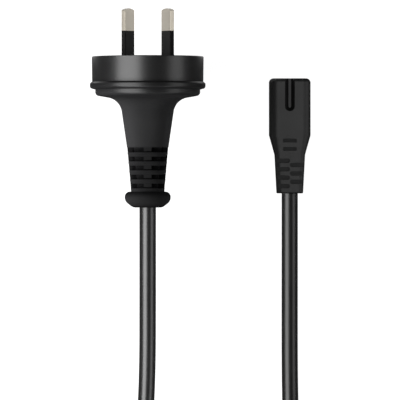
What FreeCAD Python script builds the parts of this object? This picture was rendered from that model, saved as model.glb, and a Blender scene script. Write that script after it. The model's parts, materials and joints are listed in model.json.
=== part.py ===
import FreeCAD, Part
import math
import os

# A power lead that lies on a table: a two-pin plug and a figure-eight connector on one round cord.
# Millimetres, +Z up. Plug and connector point along +Y, and the cord leaves both along -Y.
# The origin is on the table, under the middle of the plug and connector taken together.

# Cord
cord_d = 5.7              # sheath, round
core_d = 2.3              # insulated wire
core_gap = 0.1            # between the two wires where they enter the sheath
strand_d = 1.1            # copper of one wire

# Plug disc, measured from its face
disc_d = 38.5
disc_h = 8.75             # face to bead
disc_draft = 0.1          # the side leans in by this much at the bead
disc_edge = 0.3
bead_lip = 0.65           # how far the bead stands out of the disc
bead_h = 2.7
bead_slope = 0.5          # how far each side of the bead leans in
bead_edge = 0.9
step_inset = 1.2          # the step behind the bead is smaller than the disc by this much
step_h = 2.0
step_edge = 1.4
back_slope = 10.0         # degrees, the back of the disc leans towards the neck

# Plug strain relief, ribbed, and the knob that ends it
relief_len = 15.2
relief_side_wall = 2.9    # beside the cord, at the knob
relief_front_wall = 2.45  # above and below the cord, at the knob
relief_flare_w = 2.7      # how much wider it is at the neck
relief_flare_t = 1.0
rib_count = 4             # and a collar at the knob
rib_pitch = 3.09
rib_h = 1.45
rib_start = 1.75          # neck to the first rib
rib_drop = 0.5            # how far a rib slopes down towards the knob
rib_drop_h = 0.7
nick_h = 0.4              # cut through a spine, above each rib
groove_depth = 2.2
spine_w = 2.7             # front and back, where the ribs are joined
spine_recess = 0.4        # how far a spine lies below the ribs
web_t = 2.4               # webs that join the ribs at the sides
web_recess = 0.05
knob_h = 5.5
knob_side_lip = 2.15      # how far the knob stands out of the relief, at the sides
knob_front_lip = 1.3
knob_top_edge = 1.8
knob_slope_w = 2.8        # the knob's end is smaller by this much all round
knob_slope_h = 2.2
knob_end_edge = 2.6

# Plug neck, between disc and strain relief
neck_len = 17.9
neck_step = 0.05          # the strain relief is set in by this much
neck_flare_w = 5.2        # how much wider the neck is at the disc
neck_flare_t = 6.4
neck_fillet = 5.6
neck_sections = 5
oval_power = 2.5          # section of neck and strain relief: 2 is an ellipse, more is squarer
oval_points = 24

# Plug blades
pin_w = 6.3
pin_t = 1.6
pin_len = 16.7
pin_edge = 0.25
pin_tip_bow = 0.9         # how far the tip is bowed across the width
pin_tip_edge = 0.55       # rounding of the tip across the thickness
pin_circle_r = 7.92       # blade centre to plug axis
pin_angle = 60.0          # blade from the vertical through the axis, and its own lean
sleeve_len = 8.9          # out of the face
sleeve_root = 1.5         # into the carrier
sleeve_wall = 0.35
carrier_d = 25.0
carrier_h = 8.0
fin_t = 1.2
fin_w = 9.0
fin_len = 5.0
barrel_d = 3.2
barrel_len = 6.0
crimp_depth = 5.0         # copper inside a barrel
blade_root = 1.0          # blade behind the carrier
core_lead = 2.2           # straight part of a wire at each of its ends
plug_sheath_inset = 1.3   # sheath end to the end of the neck

# Figure-eight connector, measured from its mating face
connector_w = 14.4
connector_t = 8.0
connector_len = 19.7
connector_corner = 3.0
connector_edge = 1.5
taper_len = 6.75
tail_len = 13.4
tail_side_wall = 1.75
tail_front_wall = 0.95
tail_flare_w = 1.4
tail_flare_t = 0.2
tail_corner = 1.9
tail_edge = 0.4
waist_w = 3.4
waist_floor_w = 0.9
waist_depth = 2.1
waist_len = 11.4
slot_h = 1.5
slot_depth = 0.8
recess_lean = 0.35        # slots and grip bars are shallower by this much on the side of the mating face
slot_pitch = 2.93
slot_start = 2.1          # tail start to the first slot
slots_left = 4
slots_right = 3
grip_w = 4.7
grip_h = 1.3
grip_depth = 0.9
grip_corner = 0.3
grip_start = 1.85         # taper start to the first grip bar
grip_pitch = 2.9
grip_count = 2

# Contacts and the insert that holds them
socket_pitch = 8.6
socket_d = 2.5            # bore of a contact, for a 2.4 mm pin
socket_len = 11.0
socket_entry_d = 2.9
socket_entry = 1.2        # depth of the hole in front of a contact
socket_slit = 0.5
contact_wall = 0.4
contact_end = 1.2         # closed part between bore and barrel
contact_barrel_d = 2.9
contact_barrel_len = 4.5
contact_crimp = 3.5
shell_wall = 1.0          # moulding round the insert
waist_web = 0.6           # moulding between a waist groove and the insert
contact_lead = 1.3
connector_sheath_inset = 1.3

# Where the pieces lie
axis_spacing = 49.1       # plug axis to connector axis
connector_setback = 7.3   # mating face behind the plug's face

# Coil of the put-away length, and its strap
coil_x = 6.35
coil_y = -157.0
coil_inner_r = 23.4       # centre of the innermost turn
coil_turns = 6.722
coil_layers = 2
tie_t = 0.6
tie_w = 12.0
coil_edge = 3.0           # rounding of the coil's section

# Route of the cord between the plug, the coil and the connector
run_share = 0.45          # each bend takes this share of its shorter run
exit_run = 14.0           # straight out of the plug and out of the connector
plug_route = [(-18.22, -68.0, 18.4), (-18.3, -90.0, 15.2), (-19.2, -110.0, 11.5), (-22.3, -122.0, 9.4),
              (-27.0, -134.0, 8.4)]
connector_route = [(30.9, -66.0, 2.95), (30.9, -92.0, 2.95), (31.3, -111.0, 3.1), (35.0, -124.0, 3.6),
                   (38.8, -136.0, 4.3)]

# Worked out from the sizes above
vector = FreeCAD.Vector
origin = vector(0, 0, 0)
along = vector(0, 1, 0)
up = vector(0, 0, 1)
beyond = 5.0              # how far a cutting tool reaches past what it cuts
cord_r = cord_d / 2
core_x = (core_d + core_gap) / 2
disc_r = disc_d / 2
bead_r = disc_r + bead_lip
step_r = disc_r - step_inset
step_round = min(step_edge, 0.9 * step_h)
back_r = step_r - step_round
back_lean = math.tan(math.radians(back_slope))
disc_back = disc_h + bead_h + step_h
neck_end = disc_back + neck_len
relief_end = neck_end + relief_len
plug_len = relief_end + knob_h
relief_end_w = cord_d + 2 * relief_side_wall
relief_end_t = cord_d + 2 * relief_front_wall
relief_w = relief_end_w + relief_flare_w
relief_t = relief_end_t + relief_flare_t
neck_end_w = relief_w + 2 * neck_step
neck_end_t = relief_t + 2 * neck_step
pin_x = pin_circle_r * math.sin(math.radians(pin_angle))
pin_z = -pin_circle_r * math.cos(math.radians(pin_angle))
plug_sheath = neck_end - plug_sheath_inset
tail_start = connector_len + taper_len
connector_end = tail_start + tail_len
tail_end_w = cord_d + 2 * tail_side_wall
tail_end_t = cord_d + 2 * tail_front_wall
tail_w = tail_end_w + tail_flare_w
tail_t = tail_end_t + tail_flare_t
contact_d = socket_d + 2 * contact_wall
socket_end = socket_entry + socket_len
insert_len = socket_end + contact_end
contact_back = insert_len + contact_barrel_len
connector_sheath = tail_start - connector_sheath_inset
plug_x = (bead_r - axis_spacing - connector_w / 2) / 2
plug_y = (plug_len - pin_len) / 2
plug_z = bead_r
connector_x = plug_x + axis_spacing
connector_y = plug_y - connector_setback
connector_z = max(connector_t, tail_t) / 2
coil_outer_r = coil_inner_r + cord_d * coil_turns / coil_layers
coil_h = coil_layers * cord_d


def rounded_outline(corners):
    # Closed wire of straight sides, with each corner rounded by its own radius
    count = len(corners)
    starts = []
    ends = []
    middles = []
    for index, (corner, radius) in enumerate(corners):
        to_last = (corners[index - 1][0] - corner).normalize()
        to_next = (corners[(index + 1) % count][0] - corner).normalize()
        half_angle = to_last.getAngle(to_next) / 2
        reach = radius / math.tan(half_angle)
        inward = (to_last + to_next).normalize()
        starts.append(corner + to_last * reach)
        ends.append(corner + to_next * reach)
        middles.append(corner + inward * (radius / math.sin(half_angle) - radius))
    edges = []
    for index, (corner, radius) in enumerate(corners):
        if radius > 0:
            edges.append(Part.Arc(starts[index], middles[index], ends[index]).toShape())
        following = starts[(index + 1) % count]
        edges.append(Part.LineSegment(ends[index], following).toShape())
    return Part.Wire(edges)


def section(width, thickness, corner, y):
    # Rounded rectangle across the Y axis
    half_w = width / 2
    half_t = thickness / 2
    radius = min(corner, 0.95 * half_w, 0.95 * half_t)
    places = [(half_w, half_t), (-half_w, half_t), (-half_w, -half_t), (half_w, -half_t)]
    return rounded_outline([(vector(x, y, z), radius) for x, z in places])


def oval(width, thickness, y):
    # Smooth oval across the Y axis, squarer than an ellipse
    points = []
    for index in range(oval_points):
        angle = 2 * math.pi * index / oval_points
        x = math.copysign(abs(math.cos(angle)) ** (2 / oval_power), math.cos(angle))
        z = math.copysign(abs(math.sin(angle)) ** (2 / oval_power), math.sin(angle))
        points.append(vector(x * width / 2, y, z * thickness / 2))
    curve = Part.BSplineCurve()
    curve.interpolate(Points=points, PeriodicFlag=True)
    return Part.Wire(curve.toShape())


def bar(width, thickness, corner, y_from, y_to):
    return Part.Face(section(width, thickness, corner, y_from)).extrude(vector(0, y_to - y_from, 0))


def loft(wires, ruled):
    return Part.makeLoft(wires, True, ruled)


def rod(diameter, x, z, y_from, y_to):
    return Part.makeCylinder(diameter / 2, y_to - y_from, vector(x, y_from, z), along)


def turned(corners):
    # Solid of revolution about the Y axis, from corners given as radius, place along Y and rounding
    outline = rounded_outline([(vector(radius, y, 0), edge) for radius, y, edge in corners])
    return Part.Face(outline).revolve(origin, along, 360)


def slab(width, height, depth, centre):
    corner = centre - vector(width / 2, height / 2, depth / 2)
    return Part.makeBox(width, height, depth, corner)


def route_wire(points, label):
    # Straight runs joined by tangent arcs that are as large as the runs allow
    edges = []
    radii = []
    start = points[0]
    for last, point, following in zip(points, points[1:], points[2:]):
        to_last = last - point
        to_next = following - point
        reach = run_share * min(to_last.Length, to_next.Length)
        to_last.normalize()
        to_next.normalize()
        half_turn = (math.pi - to_last.getAngle(to_next)) / 2
        radius = reach / math.tan(half_turn)
        inward = (to_last + to_next).normalize()
        middle = point + inward * (radius / math.cos(half_turn) - radius)
        edges.append(Part.LineSegment(start, point + to_last * reach).toShape())
        start = point + to_next * reach
        edges.append(Part.Arc(point + to_last * reach, middle, start).toShape())
        radii.append(round(radius, 1))
    edges.append(Part.LineSegment(start, points[-1]).toShape())
    print(label, "bend radii", radii)
    return Part.Wire(edges)


def tube(points, diameter, label):
    path = route_wire(points, label)
    ring = Part.Wire(Part.makeCircle(diameter / 2, points[0], points[1] - points[0]))
    solid = path.makePipeShell([ring], True, False)
    expected = math.pi * diameter ** 2 / 4 * path.Length
    print(label, "volume", round(solid.Volume, 1), "section times length", round(expected, 1))
    return solid


def mirrored_down(shape):
    return shape.mirror(origin, up)


# Plug body: disc, neck, ribbed strain relief and knob

def plug_disc():
    bead_round = min(bead_edge, 1.4 * bead_lip, 0.4 * (bead_h - bead_slope))
    return turned([
        (0, 0, 0),
        (disc_r, 0, disc_edge),
        (disc_r - disc_draft, -disc_h, 0),
        (bead_r, -disc_h - bead_slope, bead_round),
        (bead_r, -disc_h - bead_h + bead_slope, bead_round),
        (step_r, -disc_h - bead_h, 0),
        (step_r, -disc_back, step_round),
        (0, -disc_back - step_r * back_lean, 0)])


def plug_neck():
    # Straight sides and hollow front and back, seen along the plug
    wires = []
    for index in range(neck_sections):
        share = index / (neck_sections - 1)
        width = neck_end_w + neck_flare_w * (1 - share)
        thickness = neck_end_t + neck_flare_t * (1 - share) ** 2
        wires.append(oval(width, thickness, -disc_back - neck_len * share))
    return loft(wires, False)


def neck_joint_edges(body):
    # Where the neck meets the leaning back of the disc
    edges = []
    for edge in body.Edges:
        points = edge.discretize(oval_points)
        radii = [math.hypot(point.x, point.z) for point in points]
        off_back = [point.y + disc_back + (step_r - radius) * back_lean for point, radius in zip(points, radii)]
        if max(abs(gap) for gap in off_back) < 0.01 and max(radii) < back_r - 0.01:
            edges.append(edge)
    return edges


def relief_oval(distance, inset):
    # Section of the strain relief at a distance from the neck
    share = distance / relief_len
    width = relief_w + (relief_end_w - relief_w) * share
    thickness = relief_t + (relief_end_t - relief_t) * share
    return oval(width - 2 * inset, thickness - 2 * inset, -neck_end - distance)


def relief_form(inset):
    return loft([relief_oval(0, inset), relief_oval(relief_len, inset)], True)


def rib_place(index):
    # Distance of a rib's upper side from the neck
    return rib_start + index * rib_pitch


def relief_rib(index):
    # Steep on the neck's side and sloping down on the knob's side
    start = rib_place(index)
    end = start + rib_h
    return loft([relief_oval(start, 0), relief_oval(end - rib_drop_h, 0), relief_oval(end, rib_drop)], True)


def relief_collar():
    return loft([relief_oval(rib_place(rib_count), 0), relief_oval(relief_len + knob_h / 2, 0)], True)


def relief_spines():
    # Front and back, with a nick above each rib and above the collar
    reach = relief_w + beyond
    spines = relief_form(spine_recess)
    spines = spines.common(slab(spine_w, relief_len, reach, vector(0, -neck_end - relief_len / 2, 0)))
    for index in range(rib_count + 1):
        middle = vector(0, -neck_end - rib_place(index) + nick_h / 2, 0)
        spines = spines.cut(slab(reach, nick_h, reach, middle))
    return spines


def plug_relief():
    # Ribs round a core, joined by a spine at the front and the back and by a web at each side
    reach = relief_w + beyond
    middle = vector(0, -neck_end - relief_len / 2, 0)
    webs = relief_form(web_recess).common(slab(reach, relief_len, web_t, middle))
    ribs = [relief_rib(index) for index in range(rib_count)]
    return relief_form(groove_depth).fuse([relief_spines(), webs, relief_collar()] + ribs)


def plug_knob():
    # Oval bead with a sloping end: a turned bead, flattened front to back
    half_w = relief_end_w / 2 + knob_side_lip
    half_t = relief_end_t / 2 + knob_front_lip
    side_h = knob_h - knob_slope_h
    top_round = min(knob_top_edge, 0.55 * side_h)
    end_round = min(knob_end_edge, 0.8 * side_h)
    bead = turned([
        (0, -relief_end, 0),
        (half_w, -relief_end, top_round),
        (half_w, -relief_end - side_h, end_round),
        (half_w - knob_slope_w, -plug_len, end_round),
        (0, -plug_len, 0)])
    flatten = FreeCAD.Matrix()
    flatten.A33 = half_t / half_w
    return bead.transformGeometry(flatten)


def plug_outside():
    body = plug_disc().fuse(plug_neck()).removeSplitter()
    room = back_r - (neck_end_w + neck_flare_w) / 2
    body = body.makeFillet(min(neck_fillet, 0.9 * room), neck_joint_edges(body))
    return body.fuse([plug_relief(), plug_knob()]).removeSplitter()


# Plug inside: blades, sleeves, carrier, wires and the sheath's end

def at_pin(shape, side):
    shape = shape.copy()
    shape.rotate(origin, along, -side * pin_angle)
    shape.translate(vector(side * pin_x, 0, pin_z))
    return shape


def blade_bar(inset, y_from, y_to):
    edge = min(pin_edge, 0.45 * (pin_t - 2 * inset))
    return bar(pin_w - 2 * inset, pin_t - 2 * inset, edge, y_from, y_to)


def bowed_tip():
    # Outline of the blade with a bowed tip, seen on its broad side
    half = pin_w / 2
    root = -carrier_h - blade_root
    shoulder = pin_len - pin_tip_bow
    corners = [vector(half, shoulder, -pin_w), vector(-half, shoulder, -pin_w),
               vector(-half, root, -pin_w), vector(half, root, -pin_w)]
    edges = [Part.Arc(corners[0], vector(0, pin_len, -pin_w), corners[1]).toShape()]
    for start, end in zip(corners[1:], corners[2:] + corners[:1]):
        edges.append(Part.LineSegment(start, end).toShape())
    return Part.Face(Part.Wire(edges)).extrude(vector(0, 0, 2 * pin_w))


def thinned_tip():
    # Outline of the blade with a rounded tip, seen on its narrow side
    half = pin_t / 2
    root = -carrier_h - blade_root
    round_tip = min(pin_tip_edge, 0.48 * pin_t)
    outline = rounded_outline([
        (vector(-pin_w, root, -half), 0),
        (vector(-pin_w, root, half), 0),
        (vector(-pin_w, pin_len, half), round_tip),
        (vector(-pin_w, pin_len, -half), round_tip)])
    return Part.Face(outline).extrude(vector(2 * pin_w, 0, 0))


def sleeve_form():
    outside = blade_bar(0, -sleeve_root, sleeve_len)
    return outside.cut(blade_bar(sleeve_wall, -sleeve_root, sleeve_len))


def pin_form():
    blade = blade_bar(0, -carrier_h - blade_root, pin_len).common(bowed_tip()).common(thinned_tip())
    blade = blade.cut(sleeve_form())
    barrel = rod(barrel_d, 0, 0, -carrier_h - barrel_len, -carrier_h)
    crimp = rod(strand_d, 0, 0, -carrier_h - barrel_len, -carrier_h - barrel_len + crimp_depth)
    return blade.fuse(barrel).removeSplitter().cut(crimp)


def pin_room():
    # What a blade and its barrel take out of the carrier and the body
    blade = blade_bar(0, -carrier_h - blade_root, 0)
    return blade.fuse(rod(barrel_d, 0, 0, -carrier_h - barrel_len, -carrier_h))


def carrier_form():
    disc = rod(carrier_d, 0, 0, -carrier_h, 0)
    fin = slab(fin_t, fin_len, fin_w, vector(0, -carrier_h - fin_len / 2, pin_z))
    return disc.fuse(fin).removeSplitter()


def wire_pieces(points, crimp, label):
    # Insulation and copper of one wire, and the room that both take
    room = tube(points, core_d, label + " insulation")
    copper = tube(points, strand_d, label + " copper")
    first = points[0]
    inside = rod(strand_d, first.x, first.z, first.y, first.y + crimp)
    return room.cut(copper), copper.fuse(inside).removeSplitter(), room


def plug_wire(side):
    crimp_y = -carrier_h - barrel_len
    points = [vector(side * pin_x, crimp_y, pin_z), vector(side * pin_x, crimp_y - core_lead, pin_z),
              vector(side * core_x, core_lead - plug_sheath, 0), vector(side * core_x, -plug_sheath, 0)]
    return wire_pieces(points, crimp_depth, "plug wire")


def plug_pieces():
    pieces = {}
    room = [carrier_form(), rod(cord_d, 0, 0, -plug_len, -plug_sheath)]
    carrier = carrier_form()
    for side, name in ((-1, "active"), (1, "neutral")):
        insulation, copper, wire_room = plug_wire(side)
        pieces[name + "_pin"] = at_pin(pin_form(), side)
        pieces[name + "_pin_sleeve"] = at_pin(sleeve_form(), side)
        pieces["plug_" + name + "_core"] = insulation
        pieces["plug_" + name + "_strands"] = copper
        carrier = carrier.cut(at_pin(pin_room(), side))
        room += [at_pin(pin_room(), side), wire_room]
    pieces["pin_carrier"] = carrier
    pieces["plug_cord_end"] = rod(cord_d, 0, 0, -plug_len, -plug_sheath)
    body = plug_outside()
    for solid in room:
        body = body.cut(solid)
    pieces["plug_body"] = body
    return pieces


# Connector body: block, taper, slotted tail and waist grooves

def waist_outline(depth, extra, length):
    # Plan of a waist groove at a depth below the broad side: wide at the top, with a round end
    lean = (waist_w - waist_floor_w) / 2 / waist_depth
    half = waist_w / 2 - depth * lean + extra
    end = depth * lean - length - extra
    z = connector_t / 2 - depth
    return rounded_outline([
        (vector(half, beyond, z), 0),
        (vector(-half, beyond, z), 0),
        (vector(-half, end, z), 0.99 * half),
        (vector(half, end, z), 0.99 * half)])


def waist_tool(extra, length):
    # Groove between the two lobes, with leaning walls
    rise = waist_depth / 4
    return loft([waist_outline(-rise, extra, length), waist_outline(waist_depth + extra, extra, length)], True)


def thickness_at(distance):
    # Connector's thickness at a distance from the mating face
    if distance < connector_len:
        return connector_t
    if distance < tail_start:
        return connector_t + (tail_t - connector_t) * (distance - connector_len) / taper_len
    return tail_t + (tail_end_t - tail_t) * (distance - tail_start) / tail_len


def recess_tool(x_from, x_to, height, depth, corner, distance):
    # Shallow slot with a leaning floor, cut into the broad side
    floor = thickness_at(distance) / 2 - depth
    shallow = floor + recess_lean
    bottom = -distance - height / 2
    top = -distance + height / 2
    round_end = min(corner, 0.49 * height)
    outline = rounded_outline([
        (vector(x_from, bottom, floor), round_end),
        (vector(x_to, bottom, floor), round_end),
        (vector(x_to, top, shallow), round_end),
        (vector(x_from, top, shallow), round_end)])
    return Part.Face(outline).extrude(vector(0, 0, connector_t))


def connector_recesses():
    tools = [waist_tool(0, waist_len)]
    side_reach = tail_w / 2 + beyond
    for index in range(slots_left):
        distance = tail_start + slot_start + index * slot_pitch
        tools.append(recess_tool(-side_reach, 0, slot_h, slot_depth, slot_h, distance))
    for index in range(slots_right):
        distance = tail_start + slot_start + (index + 0.5) * slot_pitch
        tools.append(recess_tool(0, side_reach, slot_h, slot_depth, slot_h, distance))
    for index in range(grip_count):
        distance = connector_len + grip_start + index * grip_pitch
        tools.append(recess_tool(-grip_w / 2, grip_w / 2, grip_h, grip_depth, grip_corner, distance))
    return tools


def end_edges(solid, y):
    edges = []
    for edge in solid.Edges:
        box = edge.BoundBox
        if abs(box.YMin - y) < 0.001 and abs(box.YMax - y) < 0.001:
            edges.append(edge)
    return edges


def connector_block():
    block = bar(connector_w, connector_t, connector_corner, -connector_len, 0)
    return block.makeFillet(connector_edge, end_edges(block, 0))


def connector_outside():
    taper = loft([section(connector_w, connector_t, connector_corner, -connector_len),
                  section(tail_w, tail_t, tail_corner, -tail_start)], True)
    tail = loft([section(tail_w, tail_t, tail_corner, -tail_start),
                 section(tail_end_w, tail_end_t, tail_corner, -connector_end)], True)
    tail = tail.makeFillet(min(tail_edge, 0.8 * tail_front_wall), end_edges(tail, -connector_end))
    body = connector_block().fuse([taper, tail]).removeSplitter()
    for tool in connector_recesses():
        body = body.cut(tool).cut(mirrored_down(tool))
    return body


# Connector inside: insert, contacts, wires and the sheath's end

def insert_form():
    width = connector_w - 2 * shell_wall
    thickness = connector_t - 2 * shell_wall
    form = bar(width, thickness, connector_corner - shell_wall, -insert_len, 0).common(connector_block())
    tool = waist_tool(waist_web, insert_len + beyond)
    return form.cut(tool).cut(mirrored_down(tool))


def contact_form(x):
    sleeve = rod(contact_d, x, 0, -insert_len, -socket_entry)
    sleeve = sleeve.cut(rod(socket_d, x, 0, -socket_end, -socket_entry))
    slit = slab(socket_slit, socket_len, contact_d, vector(x, -socket_entry - socket_len / 2, -contact_d / 2))
    barrel = rod(contact_barrel_d, x, 0, -contact_back, -insert_len)
    crimp = rod(strand_d, x, 0, -contact_back, -contact_back + contact_crimp)
    return sleeve.cut(slit).fuse(barrel).removeSplitter().cut(crimp)


def connector_wire(side):
    x = side * socket_pitch / 2
    points = [vector(x, -contact_back, 0), vector(x, -contact_back - contact_lead, 0),
              vector(side * core_x, contact_lead - connector_sheath, 0),
              vector(side * core_x, -connector_sheath, 0)]
    return wire_pieces(points, contact_crimp, "connector wire")


def connector_pieces():
    pieces = {}
    insert = insert_form()
    room = [insert_form(), rod(cord_d, 0, 0, -connector_end, -connector_sheath)]
    for side, name in ((-1, "active"), (1, "neutral")):
        x = side * socket_pitch / 2
        insulation, copper, wire_room = connector_wire(side)
        pieces[name + "_contact"] = contact_form(x)
        pieces["connector_" + name + "_core"] = insulation
        pieces["connector_" + name + "_strands"] = copper
        insert = insert.cut(rod(socket_entry_d, x, 0, -socket_entry, 0))
        insert = insert.cut(rod(contact_d, x, 0, -insert_len, -socket_entry))
        room += [rod(contact_barrel_d, x, 0, -contact_back, -insert_len), wire_room]
    pieces["contact_insert"] = insert
    pieces["connector_cord_end"] = rod(cord_d, 0, 0, -connector_end, -connector_sheath)
    body = connector_outside()
    for solid in room:
        body = body.cut(solid)
    pieces["connector_body"] = body
    return pieces


# Free cord: two runs, the coil and its strap

def coil_ring(outset):
    # Section of the coil, set out by the strap's thickness for the strap
    inner = coil_inner_r - cord_r - outset
    outer = coil_outer_r + cord_r + outset
    bottom = tie_t - outset
    top = tie_t + coil_h + outset
    edge = coil_edge + outset
    return rounded_outline([
        (vector(inner, 0, bottom), edge),
        (vector(outer, 0, bottom), edge),
        (vector(outer, 0, top), edge),
        (vector(inner, 0, top), edge)])


def cord_run(exit_point, route, label):
    points = [exit_point, exit_point - along * exit_run]
    points += [vector(*point) for point in route]
    return tube(points, cord_d, label)


def cord_pieces():
    centre = vector(coil_x, coil_y, 0)
    coil = Part.Face(coil_ring(0)).revolve(origin, up, 360)
    reach = coil_outer_r + cord_d + tie_t
    strap = Part.Face(coil_ring(tie_t)).revolve(origin, up, 360).cut(coil)
    strap = strap.common(slab(tie_w, reach, reach, vector(0, -reach / 2, 0)))
    coil.translate(centre)
    strap.translate(centre)
    plug_exit = vector(plug_x, plug_y - plug_len, plug_z)
    connector_exit = vector(connector_x, connector_y - connector_end, connector_z)
    return {"cord_plug_run": cord_run(plug_exit, plug_route, "plug run").cut(coil),
            "cord_connector_run": cord_run(connector_exit, connector_route, "connector run").cut(coil),
            "cord_coil": coil,
            "cord_tie": strap}


def placed(pieces, place):
    for shape in pieces.values():
        shape.translate(place)
    return pieces


os.makedirs("parts", exist_ok=True)
nodes = {}
nodes.update(placed(plug_pieces(), vector(plug_x, plug_y, plug_z)))
nodes.update(placed(connector_pieces(), vector(connector_x, connector_y, connector_z)))
nodes.update(cord_pieces())
for name, shape in nodes.items():
    print(name, "solids", len(shape.Solids), "valid", shape.isValid(), "volume", round(shape.Volume, 2))
    shape.exportStep("parts/" + name + ".step")
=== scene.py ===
import json
import math

import bpy
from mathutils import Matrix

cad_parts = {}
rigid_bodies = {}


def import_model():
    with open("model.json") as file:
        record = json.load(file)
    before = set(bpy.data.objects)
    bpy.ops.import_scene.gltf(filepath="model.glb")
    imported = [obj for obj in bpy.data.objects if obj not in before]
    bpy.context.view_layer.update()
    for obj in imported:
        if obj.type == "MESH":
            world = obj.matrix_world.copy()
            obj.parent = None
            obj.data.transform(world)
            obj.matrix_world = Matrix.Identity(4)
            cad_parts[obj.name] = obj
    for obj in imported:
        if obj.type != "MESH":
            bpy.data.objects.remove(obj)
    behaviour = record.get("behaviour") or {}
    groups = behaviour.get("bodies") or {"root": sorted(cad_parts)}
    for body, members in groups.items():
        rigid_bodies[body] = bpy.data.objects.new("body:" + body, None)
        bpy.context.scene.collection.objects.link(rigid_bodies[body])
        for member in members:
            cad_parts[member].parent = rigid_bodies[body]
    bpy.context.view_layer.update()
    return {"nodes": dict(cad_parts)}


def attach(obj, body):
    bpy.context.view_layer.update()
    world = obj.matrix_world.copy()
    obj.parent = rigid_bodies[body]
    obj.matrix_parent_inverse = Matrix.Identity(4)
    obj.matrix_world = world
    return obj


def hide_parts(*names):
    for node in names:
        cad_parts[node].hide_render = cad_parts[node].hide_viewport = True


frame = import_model()
nodes = frame["nodes"]
bpy.ops.object.select_all(action="DESELECT")
print("frame loaded:", len(nodes), "nodes")


# Shader sockets that take part in Python expressions
class Wire:
    def __init__(self, tree, socket=None):
        self.tree = tree
        self.socket = socket

    def node(self, kind, inputs=None, output=0, **settings):
        made = self.tree.nodes.new(kind)
        for name, value in settings.items():
            setattr(made, name, value)
        for name, value in (inputs or {}).items():
            self.feed(made.inputs[name], value)
        return Wire(self.tree, made.outputs[output])

    def feed(self, socket, value):
        if isinstance(value, Wire):
            self.tree.links.new(value.socket, socket)
        else:
            socket.default_value = value

    def maths(self, operation, first, second):
        return self.node("ShaderNodeMath", {0: first, 1: second}, operation=operation)

    def __add__(self, other):
        return self.maths("ADD", self, other)

    def __radd__(self, other):
        return self.maths("ADD", other, self)

    def __sub__(self, other):
        return self.maths("SUBTRACT", self, other)

    def __rsub__(self, other):
        return self.maths("SUBTRACT", other, self)

    def __mul__(self, other):
        return self.maths("MULTIPLY", self, other)

    def __rmul__(self, other):
        return self.maths("MULTIPLY", other, self)

    def mixed(self, low, high):
        return self.node("ShaderNodeMix", {0: self, 6: low, 7: high}, output=2, data_type="RGBA")

    def noise(self, scale, detail=2.0, stretch=(1, 1, 1)):
        place = self.node("ShaderNodeTexCoord", output="Object")
        place = self.node("ShaderNodeMapping", {"Vector": place, "Scale": stretch})
        return self.node("ShaderNodeTexNoise", {"Vector": place, "Scale": scale, "Detail": detail})

    def along(self, axis):
        place = self.node("ShaderNodeTexCoord", output="Object")
        return self.node("ShaderNodeSeparateXYZ", {"Vector": place}, output=axis)

    def between(self, start, end):
        ends = {"Value": self, "From Min": start, "From Max": end}
        return self.node("ShaderNodeMapRange", ends, interpolation_type="SMOOTHSTEP")

    def stretch(self, axis, start, end):
        return self.along(axis).between(start, end)

    def bump(self, height, strength, distance):
        return self.node("ShaderNodeBump", {"Height": height, "Strength": strength, "Distance": distance})


def newMaterial(name, **plain):
    material = bpy.data.materials.new(name)
    material.use_nodes = True
    shader = material.node_tree.nodes["Principled BSDF"]
    for socket, value in plain.items():
        shader.inputs[socket.replace("_", " ")].default_value = value
    return material, shader, Wire(material.node_tree)


# Finishes
def unevenFinish(name, facts, **plain):
    # noise is scale and detail, bump is strength and depth, roughness is the least and what is added
    material, shader, wire = newMaterial(name, **plain)
    cloud = wire.noise(*facts["cloud"])
    least, added = facts["roughness"]
    wire.feed(shader.inputs["Base Color"], cloud.mixed(*facts["colours"]))
    wire.feed(shader.inputs["Roughness"], least + added * cloud)
    if "grain" in facts:
        grain = wire.noise(*facts["grain"])
        wire.feed(shader.inputs["Normal"], wire.bump(grain, *facts["bump"]))
    return material, shader, wire


plugFacts = {
    "axis": (-.0182, .0199),          # x and z of the plug's middle line
    "relief": (.0064, .00555),        # half width and half thickness of the ribbed part
    "windowDepth": (.8, .66),         # squared share of them at which the windows begin and their painted shade is full
    "coatStarts": (.0042, .0052),     # y, as in the next ones: the coat begins at the back of the step
    "coatIsFull": (.0085, .0105),
    "greyStarts": (.0095, .002),      # the dull grey begins behind the disc
    "paintedLightSpan": (.001, -.0125),      # and painted light makes it paler along the neck
    "gripStarts": (-.0125, -.0145),
    # painted shade at the knob's ends, and painted light on its crown
    "knobShadeStarts": (-.0288, -.0293),
    "litCrownStarts": (-.0293, -.0314),
    "litCrownEnds": (-.0346, -.0326),
    "coat": (.6, .4),                 # on the step and bead, and what the disc has more
    "neckPaintedLight": (.8, .45),            # grey share at the disc, and the painted light that the neck's thin end has more
    # painted shade over the whole grip, as if less light reached it
    "gripPaintedShade": .64,
    # painted shade in the grip's windows
    "windowPaintedShade": .9,
    "crownPaintedLight": 1.05,
    "black": ((.0015, .0015, .0016, 1), (.0023, .0023, .0024, 1)),
    "grey": ((.0085, .0085, .0088, 1), (.0101, .0101, .0104, 1)),
    "cloud": (90, 3),
    "grain": (5200, 2),
    "bump": (.2, .0001),
    "polish": .7,                     # share of the grain that the disc lacks
    "roughness": (.58, .08),
    "gripRoughness": .18,
    "windowRoughness": .12,
}


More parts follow.
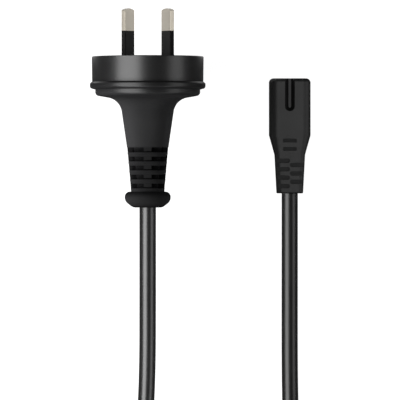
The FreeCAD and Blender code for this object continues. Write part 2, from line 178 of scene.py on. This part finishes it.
def plugMoulding():
    # a polished disc, a dull grey neck with painted light that makes it paler along its length, and a
    # ribbed grip with painted shade, darkest in its windows and at the knob's ends, with painted light on
    # the knob's crown
    facts = plugFacts
    material, shader, wire = newMaterial("plugMoulding", Specular_IOR_Level=.06,
                                         Coat_Roughness=.33, Coat_IOR=1.55)
    cloud = wire.noise(*facts["cloud"])
    grain = wire.noise(*facts["grain"])
    beadCoat, discCoat = facts["coat"]
    disc = beadCoat * wire.stretch("Y", *facts["coatStarts"])
    disc = disc + discCoat * wire.stretch("Y", *facts["coatIsFull"])
    dull = wire.stretch("Y", *facts["greyStarts"])
    grip = wire.stretch("Y", *facts["gripStarts"])
    across = (wire.along("X") - facts["axis"][0]) * (1 / facts["relief"][0])
    above = (wire.along("Z") - facts["axis"][1]) * (1 / facts["relief"][1])
    # painted shade: the grip's windows are darkened as if they lay in shadow
    window = grip * (across * across + above * above).between(*facts["windowDepth"])
    # painted shade in the groove above the knob and at its lower end, with painted light keeping its crown
    # paler
    knobShade = wire.stretch("Y", *facts["knobShadeStarts"])
    litCrown = wire.stretch("Y", *facts["litCrownStarts"]) * wire.stretch("Y", *facts["litCrownEnds"])
    discGrey, neckPaintedLight = facts["neckPaintedLight"]
    # painted light: the grey grows paler towards the neck's thin end
    greyWithPaintedLightAndShade = dull * (discGrey + neckPaintedLight * wire.stretch("Y", *facts["paintedLightSpan"]))
    # painted shade: the grip darker than the neck, as if less light reached it
    greyWithPaintedLightAndShade = greyWithPaintedLightAndShade * (1 - facts["gripPaintedShade"] * grip)
    greyWithPaintedLightAndShade = greyWithPaintedLightAndShade * (1 - facts["windowPaintedShade"] * window) * (1 - knobShade * (1 - facts["crownPaintedLight"] * litCrown))
    black = cloud.mixed(*facts["black"])
    grey = cloud.mixed(*facts["grey"])
    least, added = facts["roughness"]
    rough = least + added * cloud + facts["gripRoughness"] * grip + facts["windowRoughness"] * window
    wire.feed(shader.inputs["Base Color"], greyWithPaintedLightAndShade.mixed(black, grey))
    wire.feed(shader.inputs["Roughness"], rough)
    wire.feed(shader.inputs["Coat Weight"], disc)
    wire.feed(shader.inputs["Normal"], wire.bump(grain * (1 - facts["polish"] * disc), *facts["bump"]))
    return material


connectorFacts = {
    "colours": ((.0026, .0027, .0028, 1), (.004, .0041, .0043, 1)),
    "roughness": (.46, .08),
    "cloud": (160, 3),
    "grain": (6500, 3),
    "bump": (.2, .0001),
}


def connectorMoulding():
    return unevenFinish("connectorMoulding", connectorFacts, Specular_IOR_Level=.5)[0]


sheathFacts = {
    "colours": ((.002, .002, .002, 1), (.003, .003, .003, 1)),
    "roughness": (.29, .07),
    "cloud": (120, 2),
    "grain": (2500, 2),
    "bump": (.025, .0001),
    "coat": .8,
    "coatReach": (.03, 0),            # x reach in which the gloss comes, from the connector to the plug
}


def cordSheath():
    # glossy where it leaves the plug, a little duller towards the connector
    material, shader, wire = unevenFinish("cordSheath", sheathFacts, Specular_IOR_Level=.52,
                                          Coat_Roughness=.32)
    coat = sheathFacts["coat"] * wire.stretch("X", *sheathFacts["coatReach"])
    wire.feed(shader.inputs["Coat Weight"], coat)
    return material


bladeFacts = {
    "colours": ((.335, .304, .252, 1), (.375, .341, .283, 1)),
    "roughness": (.18, .12),
    "cloud": (260, 2),
    "drawn": (900, 3, (1, .05, 1)),   # scale, detail and stretch of the marks along the blade
    "bump": (.1, .00008),
}


def bladeMetal():
    # satin plating, drawn along the blade
    material, shader, wire = newMaterial("bladeMetal", Metallic=.3)
    drawn = wire.noise(*bladeFacts["drawn"])
    cloud = wire.noise(*bladeFacts["cloud"])
    least, added = bladeFacts["roughness"]
    wire.feed(shader.inputs["Base Color"], cloud.mixed(*bladeFacts["colours"]))
    wire.feed(shader.inputs["Roughness"], least + added * drawn)
    wire.feed(shader.inputs["Normal"], wire.bump(drawn, *bladeFacts["bump"]))
    return material


def tinted(facts, colour, roughness):
    # the facts of a plain finish in one colour, with its roughness in the middle of the spread
    darker = tuple(facts["shade"] * part for part in colour)
    spread = facts["roughnessSpread"]
    return {**facts, "colours": ((*darker, 1), (*colour, 1)), "roughness": (roughness - spread / 2, spread)}


hardFacts = {
    "shade": .8,                      # the darkest colour's share of the one given
    "roughnessSpread": .08,
    "cloud": (300, 2),
    "grain": (6000, 2),
    "bump": (.08, .00008),
}


def hardPlastic(name, colour, roughness, gloss=.4):
    return unevenFinish(name, tinted(hardFacts, colour, roughness), Specular_IOR_Level=gloss)[0]


metalFacts = {
    "shade": .82,
    "roughnessSpread": .12,
    "cloud": (400, 3),
}


def bareMetal(name, colour, roughness):
    return unevenFinish(name, tinted(metalFacts, colour, roughness), Metallic=1.0)[0]


plugBlack = plugMoulding()
connectorBlack = connectorMoulding()
sheathBlack = cordSheath()
finishes = {
    plugBlack: ["plug_body"],
    connectorBlack: ["connector_body"],
    sheathBlack: ["plug_cord_end", "connector_cord_end"],
    bladeMetal(): ["active_pin", "neutral_pin"],
    hardPlastic("sleevePlastic", (.0024, .0024, .0024), .5, .06): [
        "active_pin_sleeve", "neutral_pin_sleeve"],
    hardPlastic("hardBlack", (.006, .006, .0062), .4): ["pin_carrier", "contact_insert"],
    hardPlastic("brownInsulation", (.16, .07, .03), .35): ["plug_active_core", "connector_active_core"],
    hardPlastic("blueInsulation", (.03, .13, .45), .35): ["plug_neutral_core", "connector_neutral_core"],
    bareMetal("bareCopper", (.82, .42, .25), .35): [
        "plug_active_strands", "plug_neutral_strands",
        "connector_active_strands", "connector_neutral_strands"],
    bareMetal("contactBrass", (.78, .62, .3), .3): ["active_contact", "neutral_contact"],
}
for material, names in finishes.items():
    for name in names:
        nodes[name].data.materials.clear()
        nodes[name].data.materials.append(material)
print("finishes on the CAD nodes done")


# The cord: from the plug to the coil, round the coil, and on to the connector
cordFacts = {
    "diameter": .0057,
    "length": 1.6,
    "roundness": 6,         # bevel resolution of the section
    "curveOrder": 3,
    "curveSteps": 6,        # between two points of the route
    "plugRoute": [(-.0182, -.034375, .0199), (-.0182, -.048375, .0199), (-.01822, -.068, .0184),
                  (-.0183, -.09, .0152), (-.0192, -.11, .0115), (-.0223, -.122, .0094)],
    "connectorRoute": [(.035, -.124, .0036), (.0313, -.111, .0031), (.0309, -.092, .00295),
                       (.0309, -.066, .00295), (.0309, -.043475, .004), (.0309, -.029475, .004)],
}
coilFacts = {
    "centre": (.00635, -.157),
    "innerRadius": .0234,
    "turns": 6.722,
    "firstAngle": 140,      # degrees, where the cord from the plug joins the coil
    "pointsPerTurn": 24,
    "floorGap": .0006,      # the strap passes under the coil
    "drop": .5,             # share of a turn in which the cord steps down to the lower layer
}


def coilPoints():
    diameter = cordFacts["diameter"]
    count = round(coilFacts["turns"] * coilFacts["pointsPerTurn"])
    halfway = coilFacts["turns"] / 2
    step = 2 * math.pi * coilFacts["turns"] / count
    points = []
    for index in range(count + 1):
        turn = coilFacts["turns"] * index / count
        radius = coilFacts["innerRadius"] + diameter * abs(turn - halfway)
        radius /= math.cos(step / 2)         # the curve runs inside its control points
        rise = min(max((halfway - turn) / coilFacts["drop"] + .5, 0), 1)
        rise = rise * rise * (3 - 2 * rise)
        angle = math.radians(coilFacts["firstAngle"]) + index * step
        points.append((coilFacts["centre"][0] + radius * math.cos(angle),
                       coilFacts["centre"][1] + radius * math.sin(angle),
                       coilFacts["floorGap"] + diameter * (.5 + rise)))
    return points


def makeCord():
    data = bpy.data.curves.new("cord", "CURVE")
    data.dimensions = "3D"
    spline = data.splines.new("NURBS")
    route = cordFacts["plugRoute"] + coilPoints() + cordFacts["connectorRoute"]
    spline.points.add(len(route) - 1)
    for point, place in zip(spline.points, route):
        point.co = (*place, 1)
    spline.order_u = cordFacts["curveOrder"]
    spline.use_endpoint_u = True
    data.resolution_u = cordFacts["curveSteps"]
    data.bevel_depth = cordFacts["diameter"] / 2
    data.bevel_resolution = cordFacts["roundness"]
    data.use_fill_caps = True
    cord = bpy.data.objects.new("cord", data)
    bpy.context.scene.collection.objects.link(cord)
    data.materials.append(sheathBlack)
    return cord


cord = makeCord()
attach(cord, "root")
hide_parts("cord_plug_run", "cord_connector_run", "cord_coil")
print("cord laid")


# The strap round the coil: a band pulled tight over the turns, its end lapped over the top
strapFacts = {
    "width": .012,
    "thickness": .00056,
    "turnsOut": 3,          # turns outside the innermost one, under the strap
    "innerSlack": .0009,    # the inner turns bend away under the strap's edges
    "lapEnd": .0305,        # from the coil's centre to the free end
    "lapHinge": .0335,      # where the free end starts to lift
    "lapLift": .0009,
    "lapLow": .005,         # how far down the outer side the lap reaches
    "endRound": .0032,
    "endSegments": 6,
    "edgeShare": .25,       # rounding of the band's edges, as a share of its thickness
    "edgeSegments": 2,
    "rollSides": 48,        # of the rolls that stand for the turns under the strap
    "smoothAngle": 40,
    "samePlace": 1e-5,      # metres
    "weave": .00075,        # spacing of the woven cords across the band
}
webFacts = {
    "colours": ((.003, .003, .0032, 1), (.02, .02, .021, 1)),
    "roughness": (.8, .15),
    "fuzz": (3800, 4),
    "cloud": (500, 3),
    "weaveHeight": .35,     # beside the fuzz
    "bump": (.7, .0003),
}


def strapWeb():
    material, shader, wire = newMaterial("strapWeb", Specular_IOR_Level=.2,
                                         Sheen_Weight=.25, Sheen_Roughness=.5)
    fuzz = wire.noise(*webFacts["fuzz"])
    cloud = wire.noise(*webFacts["cloud"])
    least, added = webFacts["roughness"]
    woven = wire.maths("SINE", wire.along("X") * (2 * math.pi / strapFacts["weave"]), 0)
    height = webFacts["weaveHeight"] * woven + fuzz
    wire.feed(shader.inputs["Base Color"], fuzz.mixed(*webFacts["colours"]))
    wire.feed(shader.inputs["Roughness"], least + added * cloud)
    wire.feed(shader.inputs["Normal"], wire.bump(height, *webFacts["bump"]))
    return material


def pick(piece, kind, wanted):
    # selects the faces or points that fit, in edit mode
    bpy.ops.object.mode_set(mode="EDIT")
    bpy.ops.mesh.select_mode(type=kind)
    bpy.ops.mesh.select_all(action="DESELECT")
    bpy.ops.object.mode_set(mode="OBJECT")
    parts = piece.data.polygons if kind == "FACE" else piece.data.vertices
    for part in parts:
        part.select = wanted(part)
    bpy.ops.object.mode_set(mode="EDIT")


def makeBand(name, lift):
    # hull of the turns that the strap holds, open at both edges of the band. Each turn is a radius and a
    # height in cord diameters
    diameter = cordFacts["diameter"]
    centreX, centreY = coilFacts["centre"]
    inner = coilFacts["innerRadius"]
    floorGap = coilFacts["floorGap"]
    outer = inner + strapFacts["turnsOut"] * diameter
    second = inner + diameter - strapFacts["innerSlack"]
    held = [(outer, 1.5), (outer, .5), (second, 1.5), (second, .5), (inner - strapFacts["innerSlack"], 1)]
    bpy.ops.object.select_all(action="DESELECT")
    rolls = []
    for radius, height in held:
        place = (centreX, centreY - radius, floorGap + height * diameter)
        bpy.ops.mesh.primitive_cylinder_add(vertices=strapFacts["rollSides"], radius=diameter / 2 + lift,
                                            depth=strapFacts["width"], location=place,
                                            rotation=(0, math.pi / 2, 0))
        rolls.append(bpy.context.object)
    for roll in rolls:
        roll.select_set(True)
    bpy.ops.object.join()
    band = bpy.context.object
    band.name = name
    bpy.ops.object.transform_apply(location=True, rotation=True, scale=True)
    bpy.ops.object.mode_set(mode="EDIT")
    bpy.ops.mesh.select_all(action="SELECT")
    bpy.ops.mesh.convex_hull()
    pick(band, "FACE", lambda face: abs(face.normal.x) > .9)     # the two flat sides
    bpy.ops.mesh.delete(type="FACE")
    bpy.ops.object.mode_set(mode="OBJECT")
    return band


def cutBand(place, normal, clear):
    bpy.ops.mesh.select_all(action="SELECT")
    bpy.ops.mesh.bisect(plane_co=place, plane_no=normal, clear_outer=clear)


def makeStrap():
    thickness = strapFacts["thickness"]
    centreY = coilFacts["centre"][1]
    band = makeBand("coilStrap", 0)
    lap = makeBand("lap", thickness)
    endY = centreY - strapFacts["lapEnd"]
    hingeY = centreY - strapFacts["lapHinge"]
    bpy.ops.object.mode_set(mode="EDIT")
    cutBand((0, endY, 0), (0, 1, 0), True)
    cutBand((0, 0, strapFacts["lapLow"]), (0, 0, -1), True)
    cutBand((0, hingeY, 0), (0, 1, 0), False)
    pick(lap, "VERT", lambda point: abs(point.co.y - endY) < strapFacts["samePlace"])
    bpy.ops.transform.translate(value=(0, 0, strapFacts["lapLift"]))
    bpy.ops.mesh.bevel(offset=strapFacts["endRound"], segments=strapFacts["endSegments"], affect="VERTICES")
    bpy.ops.object.mode_set(mode="OBJECT")
    bpy.ops.object.select_all(action="DESELECT")
    band.select_set(True)
    lap.select_set(True)
    bpy.context.view_layer.objects.active = band
    bpy.ops.object.join()
    wall = band.modifiers.new("wall", "SOLIDIFY")
    wall.thickness = thickness
    wall.offset = 1
    bpy.ops.object.modifier_apply(modifier="wall")
    edge = band.modifiers.new("edge", "BEVEL")
    edge.width = thickness * strapFacts["edgeShare"]
    edge.segments = strapFacts["edgeSegments"]
    bpy.ops.object.modifier_apply(modifier="edge")
    bpy.ops.object.shade_smooth_by_angle(angle=math.radians(strapFacts["smoothAngle"]))
    band.data.materials.clear()
    band.data.materials.append(strapWeb())
    return band


strap = makeStrap()
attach(strap, "root")
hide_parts("cord_tie")
print("strap closed round the coil:", len(strap.data.polygons), "faces")


# Floor, lights and camera
stageFacts = {
    "floorSize": 6.0,
    "floorGrey": .12,
    "floorGlow": .98,       # a lit white table top
    "cardArea": (-.07, .018, .03, .05),      # x and y reach of a white card that the blades reflect
    "cardHeight": .0002,
    "camera": (-.00021, -.03177, 2.1),
    "lens": 544,
    "farthestSeen": 50,
    "roomGrey": .06,
    "lightDistance": .8,
    "lights": {
        "leftBox": {"lit": "rest", "tilt": -40, "middle": -.8, "size": (.7, 3), "power": 32.8},
        "leftGlow": {"lit": "rest", "tilt": -70, "middle": -.2, "size": (.5, .6), "power": 42},
        "rightBox": {"lit": "rest", "tilt": 60, "middle": -.8, "size": (.44, 3), "power": 6.4},
        "rightGlow": {"lit": "rest", "tilt": 84, "middle": -.2, "size": (.3, .6), "power": 14},
        "topBox": {"lit": "connector", "tilt": 7, "middle": .1, "size": (.5, .7), "power": 2.4},
        "edgeFill": {"lit": "connector", "tilt": -72, "middle": 0, "size": (.5, .7), "power": 1.1},
        "sideFill": {"lit": "connector", "tilt": 68, "middle": 0, "size": (.7, .7), "power": 1.6},
        "bladeBox": {"lit": "blades", "tilt": 0, "middle": .03, "size": (3, .7), "power": 19},
    },
    "shineOnly": ["leftBox", "rightBox"],    # these make highlights and nothing else
    "glowOnly": ["leftGlow", "rightGlow"],   # these make none
    "groups": {"connector": ["connector_body", "contact_insert"], "blades": ["active_pin", "neutral_pin"]},
}


def makeFloor():
    bpy.ops.mesh.primitive_plane_add(size=stageFacts["floorSize"], location=(0, 0, 0))
    floor = bpy.context.object
    floor.name = "floor"
    grey = stageFacts["floorGrey"]
    finish = newMaterial("paleFloor", Base_Color=(grey, grey, grey, 1), Roughness=.9, Specular_IOR_Level=0,
                         Emission_Color=(1, 1, 1, 1), Emission_Strength=stageFacts["floorGlow"])
    floor.data.materials.append(finish[0])
    floor.visible_glossy = False             # no glare from the table in the black mouldings


def makeCard():
    left, low, right, high = stageFacts["cardArea"]
    middle = ((left + right) / 2, (low + high) / 2, stageFacts["cardHeight"])
    bpy.ops.mesh.primitive_plane_add(size=1, location=middle)
    card = bpy.context.object
    card.name = "card"
    card.scale = (right - left, high - low, 1)
    card.data.materials.append(bpy.data.materials["paleFloor"])


def lightGroups():
    groups = {}
    taken = []
    for name, pieces in stageFacts["groups"].items():
        groups[name] = bpy.data.collections.new(name)
        for piece in pieces:
            groups[name].objects.link(nodes[piece])
            taken.append(nodes[piece])
    groups["rest"] = bpy.data.collections.new("rest")
    for piece in bpy.context.scene.objects:
        if piece.type != "EMPTY" and piece not in taken:
            groups["rest"].objects.link(piece)
    return groups


def makeLights():
    groups = lightGroups()
    away = stageFacts["lightDistance"]
    for name, facts in stageFacts["lights"].items():
        data = bpy.data.lights.new(name, "AREA")
        data.shape = "RECTANGLE"
        data.size, data.size_y = facts["size"]
        data.energy = facts["power"]
        tilt = math.radians(facts["tilt"])
        light = bpy.data.objects.new(name, data)
        light.location = (away * math.sin(tilt), facts["middle"], away * math.cos(tilt))
        light.rotation_euler = (0, tilt, 0)
        light.visible_camera = False
        light.visible_diffuse = name not in stageFacts["shineOnly"]
        light.visible_glossy = name not in stageFacts["glowOnly"]
        light.light_linking.receiver_collection = groups[facts["lit"]]
        bpy.context.scene.collection.objects.link(light)
    world = bpy.data.worlds.new("dimRoom")
    world.use_nodes = True
    grey = stageFacts["roomGrey"]
    world.node_tree.nodes["Background"].inputs["Color"].default_value = (grey, grey, grey, 1)
    bpy.context.scene.world = world


def makeCamera():
    data = bpy.data.cameras.new("camera")
    data.lens = stageFacts["lens"]
    data.clip_end = stageFacts["farthestSeen"]
    camera = bpy.data.objects.new("camera", data)
    camera.location = stageFacts["camera"]
    bpy.context.scene.collection.objects.link(camera)
    bpy.context.scene.camera = camera


makeFloor()
makeCard()
makeLights()
makeCamera()
bpy.context.scene.view_settings.view_transform = "Standard"
print("floor, lights and camera set")
